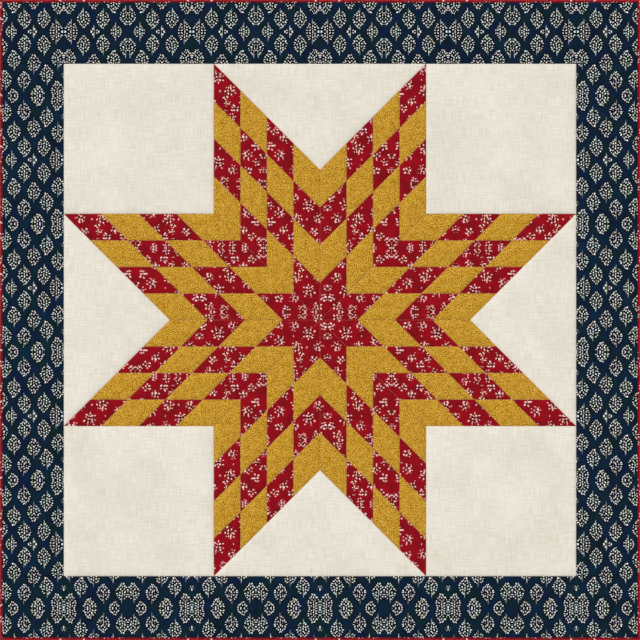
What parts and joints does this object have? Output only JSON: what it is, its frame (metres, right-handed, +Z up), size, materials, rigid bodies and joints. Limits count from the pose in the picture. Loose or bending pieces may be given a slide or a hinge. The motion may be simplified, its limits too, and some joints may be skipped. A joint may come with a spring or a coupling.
{
  "type": "star quilt blanket",
  "caption": "Square padded patchwork quilt lying flat, with a large star pieced from small diamonds, plain ground, printed border and folded binding.",
  "frame": {"origin": "middle of the quilt on the surface that its underside lies on", "axes": "+Z up out of the patchwork face, +Y towards the top border, +X towards the right border"},
  "size_m": [1.524, 1.524, 0.007],
  "materials": {
    "red_print": "matt woven cotton, small pale sprigs on deep red",
    "gold_cloth": "matt woven cotton, mottled gold",
    "cream_cloth": "matt plain-woven cotton, natural cream",
    "navy_print": "matt woven cotton, cream sprigs on dark blue"
  },
  "bodies": {
    "root": {"star_point_1": "red_print", "star_point_2": "red_print", "star_point_3": "red_print", "star_point_4": "red_print", "star_point_5": "red_print", "star_point_6": "red_print", "star_point_7": "red_print", "star_point_8": "red_print", "binding_top": "red_print", "binding_left": "red_print", "binding_bottom": "red_print", "binding_right": "red_print", "corner_square_1": "cream_cloth", "corner_square_2": "cream_cloth", "corner_square_3": "cream_cloth", "corner_square_4": "cream_cloth", "side_triangle_1": "cream_cloth", "side_triangle_2": "cream_cloth", "side_triangle_3": "cream_cloth", "side_triangle_4": "cream_cloth", "border_top": "navy_print", "border_left": "navy_print", "border_bottom": "navy_print", "border_right": "navy_print"}
  },
  "joints": []
}
